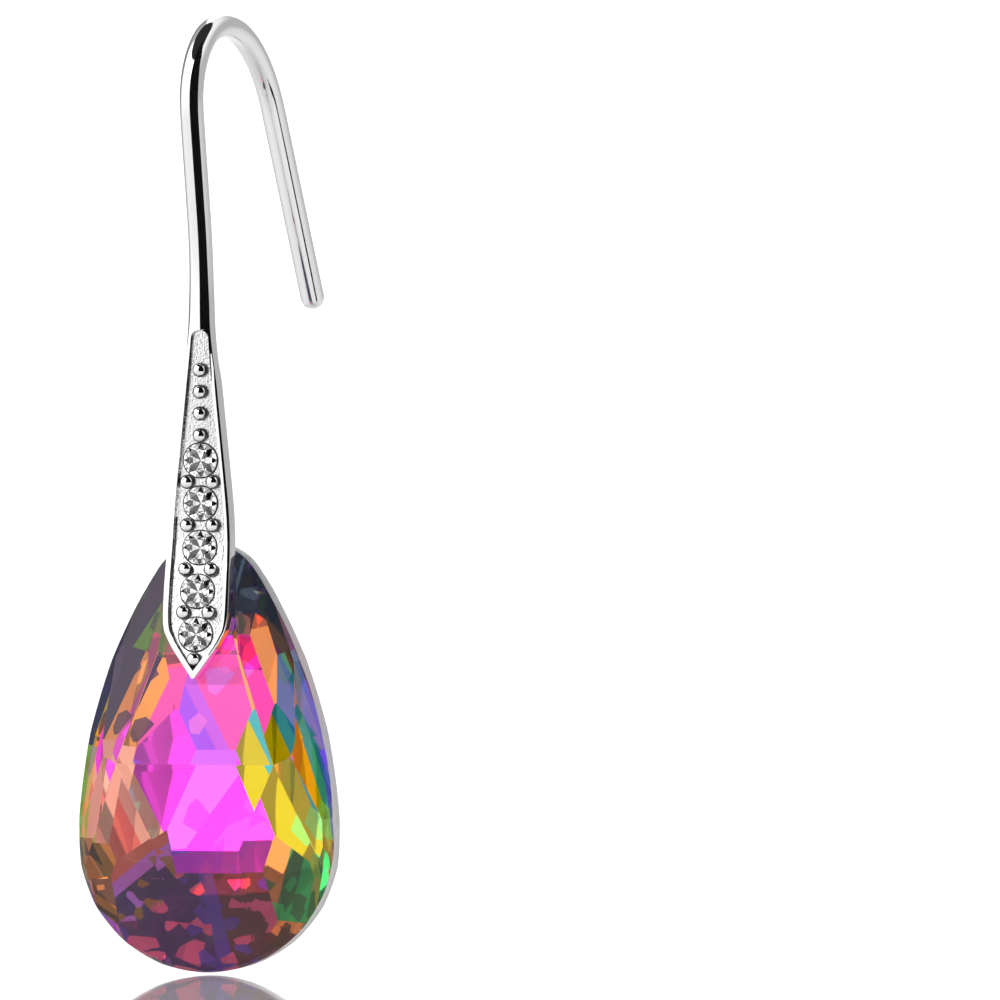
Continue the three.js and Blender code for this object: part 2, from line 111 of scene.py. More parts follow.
def facet_through(toward, slope, aside, down, proud):
    """The facet that passes through a point: its height there less its rise from the outline to it."""
    toward, slope = np.radians(toward), np.radians(slope)
    reach = pear_reach(toward)
    inward = reach - aside * np.cos(toward) + down * np.sin(toward)
    return toward, slope, reach, proud - inward * np.tan(slope)


CORNER_SLOPES = [(90, 9), (-90, 8), (32.5, 33.5), (-6, 38), (-42.5, 22)]
CROWN_FACETS = [
    facet(90, 15.5, 0.04e-3),
    facet(60, 19.5, 0.1e-3),
    facet(-62, 18, 0.14e-3),
    facet(-90, 16, 0.07e-3),
]
CROWN_FACETS += [facet_through(*slopes, TABLE_CORNER, CREASE_DOWN, CROWN_RISE) for slopes in CORNER_SLOPES]
RIDGE_SLOPES = [(90, 12), (-90, 12), (0, 26)]
PAVILION_FACETS = [facet_through(*slopes, RIDGE / 2, RIDGE_DOWN, PAVILION_RISE) for slopes in RIDGE_SLOPES]
PAVILION_FACETS += [
    facet(90, 22, -0.1e-3),
    facet(-90, 22, -0.1e-3),
    facet(45, 22, 0.4e-3),
    facet(-45, 22, 0.3e-3),
    facet(29, 37, 0),
    facet(17, 37, 0),
    facet(5, 37, 0),
    facet(-8, 37, 0),
    facet(-26, 37, 0),
    facet(62, 32, 0),
    facet(-64, 30, -0.05e-3),
]
RIM_FACETS = [facet(toward, 56, -0.12e-3) for toward in (-80, -60, -40, -20, -3, 8, 17, 26, 36, 62)]


def facet_plane(cut, side, mirror):
    """A facet's outward normal and a point on it, about the drop's top. side is -1 on the front, and
    mirror is -1 for the twin on the left."""
    toward, slope, reach, lift = cut
    out = np.array([mirror * np.cos(toward), 0, np.sin(toward)])
    normal = out * np.sin(slope) + np.array([0, side * np.cos(slope), 0])
    return normal, out * reach + np.array([0, side * (GIRDLE / 2 + lift), 0])


def grind(body, cut, side, mirror):
    """Cuts the body with the facet's plane and closes the cut with one flat face."""
    normal, point = facet_plane(cut, side, mirror)
    everything = body.verts[:] + body.edges[:] + body.faces[:]
    done = bmesh.ops.bisect_plane(
        body, geom=everything, dist=1e-8, plane_co=point, plane_no=normal, clear_outer=True
    )
    edges = [part for part in done["geom_cut"] if isinstance(part, bmesh.types.BMEdge)]
    open_edges = [edge for edge in edges if edge.is_valid and edge.is_boundary]
    if open_edges:
        bmesh.ops.edgeloop_fill(body, edges=open_edges)


def mesh_from_faces(name, points, faces):
    """A mesh object from an array of points and lists of corners."""
    mesh = bpy.data.meshes.new(name)
    mesh.from_pydata(np.asarray(points).tolist(), [], [list(face) for face in faces])
    mesh.update()
    piece = bpy.data.objects.new(name, mesh)
    scene.collection.objects.link(piece)
    return piece


def cut_crystal():
    """The pear outline as a prism, ground by every facet on both sides. The front's ridges are softened."""
    outline = pear_outline(97)
    count = len(outline)
    body = bmesh.new()
    depths = (-GIRDLE / 2 - CROWN_RISE, GIRDLE / 2 + PAVILION_RISE)
    front, back = ([body.verts.new((x, depth, z)) for x, z in outline] for depth in depths)
    body.faces.new(front)
    body.faces.new(back[::-1])
    for i in range(count):
        j = (i + 1) % count
        body.faces.new((front[j], front[i], back[i], back[j]))
    for side, cuts in ((-1, CROWN_FACETS + RIM_FACETS), (1, PAVILION_FACETS + RIM_FACETS)):
        for cut in cuts:
            grind(body, cut, side, 1)
            if np.cos(cut[0]) > 1e-6:
                grind(body, cut, side, -1)
    bmesh.ops.remove_doubles(body, verts=body.verts, dist=2e-6)
    bmesh.ops.recalc_face_normals(body, faces=body.faces)
    body.normal_update()
    ridges = [edge for edge in body.edges if all(face.normal.y < -0.6 for face in edge.link_faces)]
    bmesh.ops.bevel(
        body, geom=ridges, offset=RIDGE_SOFTENING, segments=1, affect="EDGES", clamp_overlap=True
    )
    return body


def lathe(profile, sides):
    """A profile of (radius, height) turned about the height's axis: rings of points in x, y and height."""
    angle = np.linspace(0, 2 * np.pi, sides, endpoint=False)
    radius, height = np.array(profile).T[:, :, None]
    return np.stack(np.broadcast_arrays(radius * np.cos(angle), radius * np.sin(angle), height), axis=-1)


def skin(rings):
    """Quads between neighbouring rings, and a flat cap at each end."""
    rows, sides = rings.shape[:2]
    corner = np.arange(rows * sides).reshape(rows, sides)
    beside = np.roll(corner, -1, axis=1)
    quads = np.stack([corner[:-1], beside[:-1], beside[1:], corner[1:]], axis=-1).reshape(-1, 4)
    return rings.reshape(-1, 3), [*quads.tolist(), corner[0, ::-1].tolist(), corner[-1].tolist()]


def carve(piece, cutter):
    """Takes the cutter out of the piece, and then away."""
    cut = piece.modifiers.new("cut", "BOOLEAN")
    cut.operation = "DIFFERENCE"
    cut.object = cutter
    cut.solver = "EXACT"
    bpy.context.view_layer.update()
    carved = bpy.data.meshes.new_from_object(piece.evaluated_get(bpy.context.evaluated_depsgraph_get()))
    piece.modifiers.clear()
    piece.data = carved
    bpy.data.objects.remove(cutter)


crystal_body = cut_crystal()
crystal_mesh = bpy.data.meshes.new("crystal")
crystal_body.to_mesh(crystal_mesh)
crystal_body.free()
crystal_mesh.transform(Matrix.Translation((DROP_MIDDLE_X, DROP_MIDDLE_Y, DROP_TOP)))
crystal = bpy.data.objects.new("crystal", crystal_mesh)
scene.collection.objects.link(crystal)


class Value:
    """A socket that can be used in Python arithmetic: each operation adds its Math node."""

    def __init__(self, tree, socket):
        self.tree = tree
        self.socket = socket

    def node(self, kind, settings=(), output=0, **inputs):
        """Adds a node, sets its settings first and then the values or links of its sockets. Returns one of
        its outputs."""
        node = self.tree.nodes.new(kind)
        for name, value in dict(settings).items():
            setattr(node, name, value)
        for name, value in inputs.items():
            socket = node.inputs[int(name[1:])] if name[0] == "_" else node.inputs[name.replace("_", " ")]
            if isinstance(value, Value):
                self.tree.links.new(value.socket, socket)
            else:
                socket.default_value = value
        return Value(self.tree, node.outputs[output])

    def maths(self, operation, *values):
        """A Math node over these values, or over this one alone."""
        values = values or (self,)
        sockets = {f"_{i}": value for i, value in enumerate(values)}
        return self.node("ShaderNodeMath", {"operation": operation}, **sockets)

    def __add__(self, other):
        return self.maths("ADD", self, other)

    def __sub__(self, other):
        return self.maths("SUBTRACT", self, other)

    def __rsub__(self, other):
        return self.maths("SUBTRACT", other, self)

    def __mul__(self, other):
        return self.maths("MULTIPLY", self, other)

    __radd__ = __add__
    __rmul__ = __mul__

    def split(self):
        """The three parts of a vector or colour."""
        parts = self.node("ShaderNodeSeparateXYZ", Vector=self).socket.node.outputs
        return [Value(self.tree, part) for part in parts]

    def clamped(self):
        """The value, held between 0 and 1."""
        return self.maths("MINIMUM", self.maths("MAXIMUM", self, 0.0), 1.0)


def new_surface(name, **inputs):
    """A material with one surface shader. Returns it, the shader, and its object coordinates."""
    material = bpy.data.materials.new(name)
    material.use_nodes = True
    tree = material.node_tree
    shader = tree.nodes["Principled BSDF"]
    for socket, value in inputs.items():
        shader.inputs[socket.replace("_", " ")].default_value = value
    place = Value(tree, tree.nodes.new("ShaderNodeTexCoord").outputs["Object"])
    return material, shader, place


def clear_glass(name, ior):
    """Polished clear glass with faint handling marks in its roughness."""
    material, shader, place = new_surface(
        name, Base_Color=(1, 1, 1, 1), Transmission_Weight=1.0, IOR=ior, Roughness=0.0
    )
    smear = place.node("ShaderNodeTexNoise", Vector=place, Scale=900.0, Detail=2.0)
    place.tree.links.new((smear * 0.006).socket, shader.inputs["Roughness"])
    return material


def blend(share, first, second):
    """Two colours mixed by a share, which is held between 0 and 1."""
    share = share.clamped()
    return share.node("ShaderNodeMix", {"data_type": "RGBA"}, "Result", Factor=share, A=first, B=second)


def coated_back():
    """The film of metal behind the glass. Its colour comes from its thickness, so it runs in bands over a
    facet. Small patches and flecks of other colours are painted glints, which stand in for light thrown
    back and forth inside the crystal. The position across the bands is aside times the first value, plus up
    times the second, minus the third, with aside and up in millimetres from the middle of the drop's top:
    below 0 lies the first colour and beyond 1 the third. The colour also has a painted glow, an emission
    that stands in for the light that the film scatters."""
    material, shader, place = new_surface(
        "crystal_film", Metallic=1.0, Roughness=0.03, Emission_Strength=FILM_PAINTED_GLOW
    )
    layers = [place.node("ShaderNodeAttribute", {"attribute_name": name}, "Vector") for name in FILM_LAYERS]
    bands, first, second, third, glint_colour = layers
    along_x, along_z, start = bands.split()
    x, _, z = place.split()
    aside, up = (x - DROP_MIDDLE_X) * 1000, (z - DROP_TOP) * 1000
    across = aside * along_x + up * along_z - start
    colour = blend((across - 1) * BAND_EDGE, blend(across * BAND_EDGE, first, second), third)
    # Painted glints: some cells take the patch colour, as light reflected inside the crystal.
    cells = place.node("ShaderNodeTexVoronoi", output="Color", Vector=place, Scale=PAINTED_GLINT_SCALE)
    chance, _, _ = cells.split()
    colour = blend(chance.maths("GREATER_THAN", chance, 1 - PAINTED_GLINT_SHARE) * PAINTED_GLINT_COVER, colour, glint_colour)
    # Painted glints near the point: small flecks of the second band's colour or the patch colour.
    cells = place.node("ShaderNodeTexVoronoi", output="Color", Vector=place, Scale=PAINTED_FLECK_SCALE)
    chance, kind, _ = cells.split()
    painted_flecks = chance.maths("GREATER_THAN", chance, 1 - PAINTED_FLECK_SHARE) * up.maths("LESS_THAN", up, PAINTED_FLECKS_FROM)
    fleck_glint_colour = blend(kind.maths("GREATER_THAN", kind, 0.5), second, glint_colour)
    colour = blend(painted_flecks * PAINTED_FLECK_COVER, colour, fleck_glint_colour)
    place.tree.links.new(colour.socket, shader.inputs["Base Color"])
    # The same colour is emitted, as a painted glow.
    place.tree.links.new(colour.socket, shader.inputs["Emission Color"])
    return material


# The film's colours, as a plating shop would name them.
FILM_COLOURS = {
    "ink": (0.05, 0.06, 0.10),
    "slate": (0.06, 0.08, 0.11),
    "moss": (0.07, 0.08, 0.06),
    "mist": (0.22, 0.26, 0.24),
    "plum": (0.10, 0.02, 0.13),
    "aubergine": (0.05, 0.02, 0.08),
    "maroon": (0.16, 0.03, 0.04),
    "umber": (0.12, 0.04, 0.02),
    "russet": (0.25, 0.10, 0.12),
    "rust": (0.50, 0.16, 0.03),
    "orange": (1.00, 0.34, 0.08),
    "peach": (1.00, 0.36, 0.12),
    "salmon": (1.00, 0.40, 0.28),
    "coral": (1.00, 0.16, 0.12),
    "cerise": (0.95, 0.10, 0.25),
    "rose": (1.00, 0.08, 0.45),
    "magenta": (1.00, 0.04, 0.75),
    "fuchsia": (0.80, 0.02, 0.85),
    "mauve": (0.80, 0.16, 0.75),
    "lilac": (0.60, 0.10, 0.75),
    "violet": (0.42, 0.07, 0.84),
    "indigo": (0.15, 0.04, 0.36),
    "sea": (0.02, 0.22, 0.50),
    "teal": (0.05, 0.40, 0.40),
    "jade": (0.10, 0.50, 0.33),
    "fir": (0.04, 0.14, 0.03),
    "emerald": (0.03, 0.40, 0.08),
    "leaf": (0.14, 0.34, 0.03),
    "lime": (0.30, 0.68, 0.12),
    "olive": (0.32, 0.30, 0.05),
    "citron": (0.50, 0.56, 0.03),
    "gold": (0.60, 0.46, 0.00),
}
# The film on each back facet, first the right one and then its twin on the left: the direction across the
# bands in degrees from the right, where the second band starts and how wide it is in millimetres, and the
# colours of the three bands and of the painted glint patches.
FILM = [
    [(-155, 3.7, 0.6, "rose lilac violet mauve")],
    [(-35, 7.0, 1.0, "violet fuchsia magenta fuchsia")],
    [(30, -3.0, 0.7, "gold teal sea lime"), (-155, 7.9, 0.6, "magenta salmon coral lilac")],
    [(0, 1.5, 0.9, "slate ink moss mist")],
    [(15, -4.7, 0.7, "plum indigo maroon cerise")],
    [(-120, 2.5, 4.0, "slate peach peach cerise"), (-80, 3.8, 2.0, "russet cerise rose leaf")],
    [(-10, 5.6, 0.8, "rust fir emerald emerald"), (-50, 9.2, 0.6, "coral mauve plum rust")],
    [(25, 1.2, 0.9, "slate slate moss olive"), (-35, 0.4, 0.9, "aubergine leaf russet moss")],
    [(25, -0.4, 0.6, "jade teal moss mist"), (-25, 0.2, 0.7, "aubergine orange rose aubergine")],
    [(5, 3.6, 0.6, "sea sea ink teal"), (-10, -2.8, 0.9, "citron salmon coral gold")],
    [(15, 0.8, 0.6, "leaf fir fir lime"), (-155, 10.8, 0.6, "rust umber umber rust")],
    [(10, 1.8, 0.4, "fir olive olive olive"), (60, -17.3, 0.4, "umber rust umber orange")],
    [(0, 1.5, 0.9, "slate slate slate mist"), (0, -3.2, 0.9, "moss moss moss leaf")],
    [(-15, 7.4, 0.7, "maroon umber maroon orange"), (25, -11.2, 0.7, "indigo plum plum cerise")],
]
FILM_LAYERS = ["film_bands", "film_first", "film_second", "film_third", "film_painted_glint"]
# Strength of the film's painted glow, an emission in its own colours.
FILM_PAINTED_GLOW = 0.28
BAND_EDGE = 40  # How quickly one band's colour turns into the next: more is sharper.
# Painted glints, which stand in for light reflected inside the crystal, as patches and flecks: cells per
# metre, the share of cells that have one, and how much it covers. The painted flecks lie only near the
# drop's point, below so many millimetres from its top.
PAINTED_GLINT_SCALE = 900.0
PAINTED_GLINT_SHARE = 0.16
PAINTED_GLINT_COVER = 0.85
PAINTED_FLECK_SCALE = 1700.0
PAINTED_FLECK_SHARE = 0.2
PAINTED_FLECK_COVER = 0.9
PAINTED_FLECKS_FROM = -15.4
CRYSTAL_IOR = 1.55


def ground_girdle():
    """The girdle, left satin by the grinding wheel, which scatters the light in the glass."""
    material, shader, place = new_surface(
        "girdle", Base_Color=(0.93, 0.93, 0.95, 1), Transmission_Weight=0.2, IOR=CRYSTAL_IOR
    )
    wheel = place.node("ShaderNodeTexNoise", Vector=place, Scale=3500.0, Detail=2.0)
    place.tree.links.new((wheel * 0.2 + 0.35).socket, shader.inputs["Roughness"])
    return material


crystal_mesh.materials.append(clear_glass("crystal_glass", CRYSTAL_IOR))
crystal_mesh.materials.append(coated_back())
crystal_mesh.materials.append(ground_girdle())
for name in FILM_LAYERS:
    crystal_mesh.attributes.new(name, "FLOAT_VECTOR", "CORNER")
layers = [crystal_mesh.attributes[name] for name in FILM_LAYERS]
CLEAR, COATED, GROUND = range(3)
SAME_WAY = 0.9999  # The cosine from which two normals count as one.
for face in crystal_mesh.polygons:
    face.use_smooth = abs(face.normal.y) < 0.05
    face.material_index = GROUND if face.use_smooth else CLEAR
    toward, start, width, colours = 0, 0, 1, "mist mist mist mist"
    for coats, cut in zip(FILM, PAVILION_FACETS):
        for hand, mirror in enumerate((1, -1)):
            if np.dot(facet_plane(cut, 1, mirror)[0], face.normal) > SAME_WAY:
                toward, start, width, colours = coats[hand % len(coats)]
                face.material_index = COATED
    turn = np.radians(toward)
    bands = np.array([np.cos(turn), np.sin(turn), start]) / width
    for layer, values in zip(layers, [bands, *(FILM_COLOURS[name] for name in colours.split())]):
        for loop in face.loop_indices:
            layer.data[loop].vector = values
BACKWARDS = np.array([[1, 0, 0], [0, 0, -1], [0, 1, 0]])  # Turns a lathe's axis to the back, +Y.
hole_points, hole_faces = skin(lathe([(HOLE / 2, -DROP_WIDTH), (HOLE / 2, DROP_WIDTH)], 32))
hole_points = hole_points @ BACKWARDS + [PIN_MIDDLE[0], 0, PIN_MIDDLE[2]]
carve(crystal, mesh_from_faces("pin_hole", hole_points, hole_faces))
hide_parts("crystal_drop")
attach(crystal, "root")

# Ear wire and bail. One casting in silver alloy, plated with rhodium and polished like a mirror: a round
# wire bent over the ear, which runs out into a flat bail with a sunk channel and small bead grains.
WIRE = 1.12e-3
BAIL_LENGTH = 17.5e-3
BAIL_WIDTH = 3.1e-3
BAIL_THICKNESS = 1.15e-3
BAIL_POINT = 2.7e-3
BAIL_TIP_WIDTH = 0.16e-3
BAIL_POINT_THICKNESS = 0.8e-3
BAIL_EASE = 1e-3
BAIL_GAP = 0.2e-3
BAIL_SQUARING = 0.24
CHANNEL_DEPTH = 0.35e-3
CHANNEL_RIM = 0.26e-3
CHANNEL_TOP = 1.2e-3
CHANNEL_ARCH = 0.35e-3
CHANNEL_FULL = 0.15e-3  # Half the width from which the channel has its whole depth.
EDGE_ROUND = 0.07e-3
# The channel's section from its edge to its middle, as shares of its half width and of its depth.
CHANNEL_SECTION = [(1.0, 0.0), (0.985, 0.1), (0.975, 0.5), (0.965, 0.9), (0.93, 1.0), (0.9, 1.0)]
CHANNEL_SECTION += [(0.6, 1.0), (0.3, 1.0), (0.0, 1.0)]
BEND_EASE = 0.6e-3
DROP_OVERLAP = 6.3e-3
WIRE_STEP = 0.12e-3
WIRE_FLARE = 1.1e-3
# The wire from its foot on. Each part turns the heading and twists it sideways, in degrees, and a bend is
# as long as its radius times its angle.
WIRE_PARTS = [
    {"length": 23e-3 * np.radians(10), "turn": -10, "twist": 9},
    {"length": 5.1e-3, "turn": 0, "twist": 0},
    {"length": 3.4e-3 * np.radians(91.5), "turn": 91.5, "twist": 0},
    {"length": 6.1e-3 * np.radians(37), "turn": 37, "twist": 0},
    {"length": 8e-3 * np.radians(33), "turn": 33, "twist": 0},
    {"length": 10.8e-3 - WIRE / 2, "turn": 0, "twist": 0},
]
HOOK_HIGH = np.array(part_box("ear_hook")[1])
BAIL_TIP = DROP_TOP - DROP_OVERLAP
FOOT_Z = BAIL_TIP + BAIL_LENGTH
FOOT_Y = DROP_MIDDLE_Y - GIRDLE / 2 - BAIL_GAP - BAIL_THICKNESS / 2


def wire_line(step):
    """The wire's middle line. Heading and twist change evenly along each part and are then averaged over
    a short way before and after, so that no bend starts at once. The place is the sum of short steps in the
    direction (sin twist sin heading, cos twist sin heading, cos heading)."""
    lengths = np.concatenate([[0], np.cumsum([part["length"] for part in WIRE_PARTS])])
    headings = np.radians(np.concatenate([[0], np.cumsum([part["turn"] for part in WIRE_PARTS])]))
    twists = np.radians(np.concatenate([[0], np.cumsum([part["twist"] for part in WIRE_PARTS])]))
    along = np.linspace(0, lengths[-1], int(lengths[-1] / step) + 1)
    ease = np.linspace(-BEND_EASE, BEND_EASE, 11)[:, None]
    heading = np.interp(along + ease, lengths, headings).mean(axis=0)
    twist = np.interp(along + ease, lengths, twists).mean(axis=0)
    back = np.column_stack([np.sin(twist), np.cos(twist), np.zeros_like(twist)])
    travel = back * np.sin(heading)[:, None] + np.cos(heading)[:, None] * [0, 0, 1]
    middle = (travel[1:] + travel[:-1]) / 2
    place = np.vstack([np.zeros(3), np.cumsum(middle * np.diff(along)[:, None], axis=0)])
    front = -back * np.cos(heading)[:, None] + np.sin(heading)[:, None] * [0, 0, 1]
    return place + [DROP_MIDDLE_X, FOOT_Y, FOOT_Z], travel, np.cross(travel, -front), front


def bail_half_width(z):
    """Half the bail's width at a height, read off a smooth curve through the widths of its taper and of its
    point."""
    down = np.array([0, 0.09, 0.26, 0.47, 0.58, 0.7]) * BAIL_LENGTH
    wide = WIRE + (BAIL_WIDTH - WIRE) * np.array([0.05, 0.12, 0.39, 0.76, 0.92, 1.0])
    up = np.array([1.0, 0.66, 0.34, 0]) * BAIL_POINT
    wide = np.concatenate([wide, BAIL_WIDTH * np.array([1.0, 0.82, 0.47, BAIL_TIP_WIDTH / BAIL_WIDTH])])
    knots = np.column_stack([wide / 2, np.concatenate([FOOT_Z - down, BAIL_TIP + up])])
    ends = np.vstack([2 * knots[0] - knots[1], knots, 2 * knots[-1] - knots[-2]])
    share = np.linspace(0, len(knots) - 1, 900)
    at = np.minimum(share.astype(int), len(knots) - 2)
    t = (share - at)[:, None]
    a, b, c, d = ends[at], ends[at + 1], ends[at + 2], ends[at + 3]
    curve = b + t * (c - a) / 2 + t**2 * (2 * a - 5 * b + 4 * c - d) / 2
    curve += t**3 * (3 * b - a - 3 * c + d) / 2
    return np.interp(z, curve[::-1, 1], curve[::-1, 0])


def crown_proud(down):
    """How far the crystal's front stands before its girdle on the middle line, below its top."""
    rise = [lift + down * np.tan(slope) for _, slope, _, lift in (CROWN_FACETS[0], CROWN_FACETS[4])]
    return np.maximum(0, np.minimum(*rise))


def bail_back(z):
    """The bail's back: straight down, then along the crystal's front a small gap before it, with its turns
    eased by averaging over a short way up and down."""
    def line(height):
        return DROP_MIDDLE_Y - GIRDLE / 2 - crown_proud(DROP_TOP - height) - BAIL_GAP
    return (line(z - BAIL_EASE) + 2 * line(z) + line(z + BAIL_EASE)) / 4


def smooth_step(share):
    """Rises from 0 to 1 with a level start and end: three times the share's square less twice its cube."""
    share = np.clip(share, 0, 1)
    return share**2 * (3 - 2 * share)


def bail_depth(z):
    """The bail's thickness, thinner at its point."""
    share = smooth_step((z - BAIL_TIP) / (2 * BAIL_POINT))
    return BAIL_POINT_THICKNESS + (BAIL_THICKNESS - BAIL_POINT_THICKNESS) * share


def channel_half_width(z):
    """Half the channel's width: the bail's, less the rim measured square to its edge, closed by a round
    arch at the top."""
    half = bail_half_width(z)
    lean = np.gradient(half, z)
    inner = half - CHANNEL_RIM * np.sqrt(1 + lean**2)
    arch = np.clip((FOOT_Z - CHANNEL_TOP - z) / CHANNEL_ARCH, 0, 1)
    return np.maximum(inner, 0) * np.sqrt(1 - (1 - arch) ** 2)


def bail_rings(z):
    """Rings across the bail, from the back's middle by the left to the front and round by the right. Each
    point lies between its place on a flat plate's section and the one at the same angle on the wire's
    round section. The channel is sunk into the front."""
    half, inner = bail_half_width(z), channel_half_width(z)
    square = smooth_step((FOOT_Z - z) / (BAIL_SQUARING * BAIL_LENGTH))
    depth = WIRE + (bail_depth(z) - WIRE) * square
    back = FOOT_Y + WIRE / 2 + (bail_back(z) - FOOT_Y - WIRE / 2) * square
    face, middle = back - depth, back - depth / 2
    edge = np.minimum(EDGE_ROUND, half * 0.45)
    turn = np.radians(np.linspace(0, 90, 6))
    flat = [((half - edge) * share, back) for share in (0.0, 0.35, 0.7)]
    flat += [(half - edge + edge * np.sin(angle), back - edge + edge * np.cos(angle)) for angle in turn]
    flat += [(half, back - edge - (depth - 2 * edge) * share) for share in (0.2, 0.4, 0.6, 0.8)]
    flat += [(half - edge + edge * np.cos(angle), face + edge - edge * np.sin(angle)) for angle in turn]
    points = []
    for x, y in flat:
        angle = np.arctan2(x / half, (middle - y) / (depth / 2))
        round_x, round_y = half * np.sin(angle), middle - depth / 2 * np.cos(angle)
        points.append((round_x + (x - round_x) * square, round_y + (y - round_y) * square))

    def front(x):
        bulge = middle - depth / 2 * np.sqrt(np.maximum(1 - (x / half) ** 2, 0))
        return bulge + (face - bulge) * square

    top, bottom = front(inner), face + CHANNEL_DEPTH * np.clip(inner / CHANNEL_FULL, 0, 1)
    bottom = np.maximum(top, bottom)
    sunk = inner > 0
    inner = np.where(sunk, inner, 0.45 * half)
    rim = (points[-1][0] + inner) / 2
    points.append((rim, front(rim)))
    for share, fall in CHANNEL_SECTION:
        points.append((inner * share, np.where(sunk, top + (bottom - top) * fall, front(inner * share))))
    left = np.stack([np.stack([-x, y], axis=-1) for x, y in points])
    ring = np.vstack([left, (left * [-1, 1])[-2:0:-1]])
    rows = np.broadcast_to(z, ring.shape[:2])
    ring = np.stack([ring[..., 0] + DROP_MIDDLE_X, ring[..., 1], rows], axis=-1)
    return ring.transpose(1, 0, 2)


def wire_rings(foot_ring):
    """Circles round the wire's middle line, with their points at the same angles as the bail's top ring.
    The wire is flared a little at the foot and has a half ball at its far end."""
    place, travel, aside, front = wire_line(WIRE_STEP)
    reach = (HOOK_HIGH[1:] - WIRE / 2 - [FOOT_Y, FOOT_Z]) / (place[:, 1:].max(axis=0) - [FOOT_Y, FOOT_Z])
    place[:, 1:] = [FOOT_Y, FOOT_Z] + (place[:, 1:] - [FOOT_Y, FOOT_Z]) * np.minimum(reach, 1)
    place, travel, aside, front = place[1:], travel[1:], aside[1:], front[1:]
    foot_wide = 2 * bail_half_width(np.array([FOOT_Z]))[0]
    offset = foot_ring - [DROP_MIDDLE_X, FOOT_Y, FOOT_Z]
    angle = np.arctan2(-offset[:, 0] / foot_wide, -offset[:, 1] / WIRE)
    run = np.linalg.norm(np.diff(place, axis=0, prepend=place[:1]), axis=1).cumsum()
    wide = WIRE + (foot_wide - WIRE) * np.exp(-run / WIRE_FLARE)
    deep = np.full_like(wide, WIRE)
    cap = np.radians(np.linspace(8, 88, 9))
    place = np.vstack([place, place[-1] + travel[-1] * (WIRE / 2) * np.sin(cap)[:, None]])
    grow = len(cap)
    aside, front = (np.vstack([rows, np.repeat(rows[-1:], grow, axis=0)]) for rows in (aside, front))
    wide = np.concatenate([wide, WIRE * np.cos(cap)])
    deep = np.concatenate([deep, WIRE * np.cos(cap)])
    across = aside[:, None] * (wide[:, None] / 2 * np.sin(angle))[..., None]
    outward = front[:, None] * (deep[:, None] / 2 * np.cos(angle))[..., None]
    return place[:, None] + across + outward


# The rings lie closer along the point and round the channel's arch than between.
point_end, arch_low, arch_high = BAIL_TIP + 1.2e-3, FOOT_Z - 2.0e-3, FOOT_Z - 1.0e-3
bail_z = np.concatenate([
    np.linspace(BAIL_TIP, point_end, 60, endpoint=False),
    np.linspace(point_end, arch_low, 200, endpoint=False),
    np.linspace(arch_low, arch_high, 60, endpoint=False),
    np.linspace(arch_high, FOOT_Z, 12),
])
lower = bail_rings(bail_z)
casting = mesh_from_faces("ear_wire_and_bail", *skin(np.vstack([lower, wire_rings(lower[-1])])))
ring_size = lower.shape[1]
quad = np.arange(len(casting.data.polygons))
FLOOR_QUADS = 4  # On either side of a ring's middle.
on_floor = np.abs(quad % ring_size + 0.5 - ring_size / 2) < FLOOR_QUADS
below_arch = quad < ring_size * np.count_nonzero(bail_z < FOOT_Z - CHANNEL_TOP)

# Bead grains and seats. The grains are raised from the channel's floor between the stones, and a round
# hole is sunk under each stone.
STONE = 1.6e-3
STONE_PITCH = 2.02e-3
STONE_RECESS = 0.04e-3
STONE_CROWN = 0.22e-3
STONE_GIRDLE = 0.06e-3
STONE_PAVILION = 0.55e-3
STONE_CLEARANCE = 0.06e-3
BEAD = 0.68e-3
BEAD_PROUD = 0.17e-3
BEAD_GAP = 0.04e-3
# The grains' feet are painted dark, as shade.
BEAD_SHADE_FOOT = 0.5  # The grains are dark below this share of their radius.
TOP_BEADS = 4
TOP_BEAD_PITCH = 1.02e-3
STONES = 5
LAST_STONE = BAIL_TIP + 2.1e-3
STONE_HEIGHTS = LAST_STONE + STONE_PITCH * np.arange(STONES - 1, -1, -1)
GIRDLE_DOWN = STONE_RECESS + STONE_CROWN
SEAT_POINT = 0.2e-3
BUMP_DEPTH = 0.05e-3


def face_frame(x, z, sunk):
    """A point on the bail's face, sunk into it, with the directions right, up the face and out of it."""
    reach = STONE / 2
    face = [(bail_back(h) - bail_depth(h)) for h in (z - reach, z, z + reach)]
    lean = np.arctan2(face[2] - face[0], 2 * reach)
    rise = np.array([0, np.sin(lean), np.cos(lean)])
    out = np.array([0, -np.cos(lean), np.sin(lean)])
    return np.array([DROP_MIDDLE_X + x, face[1], z]) - out * sunk, np.array([[1, 0, 0], rise, out])


def joined(parts):
    """Several (points, faces) as one."""
    points, faces, start = [], [], 0
    for part_points, part_faces in parts:
        points.append(part_points)
        faces += [[corner + start for corner in face] for face in part_faces]
        start += len(part_points)
    return np.vstack(points), faces


def bead_places():
    """A row of grains above the first stone, a pair between neighbours, and one below the last."""
    reach = (STONE + BEAD) / 2 + BEAD_GAP
    aside = np.sqrt(reach**2 - (STONE_PITCH / 2) ** 2)
    row = [(0, STONE_HEIGHTS[0] + reach + i * TOP_BEAD_PITCH) for i in range(TOP_BEADS)]
    pairs = [(x, z + STONE_PITCH / 2) for z in STONE_HEIGHTS[1:] for x in (-aside, aside)]
    return [*row, *pairs, (0, LAST_STONE - reach)]


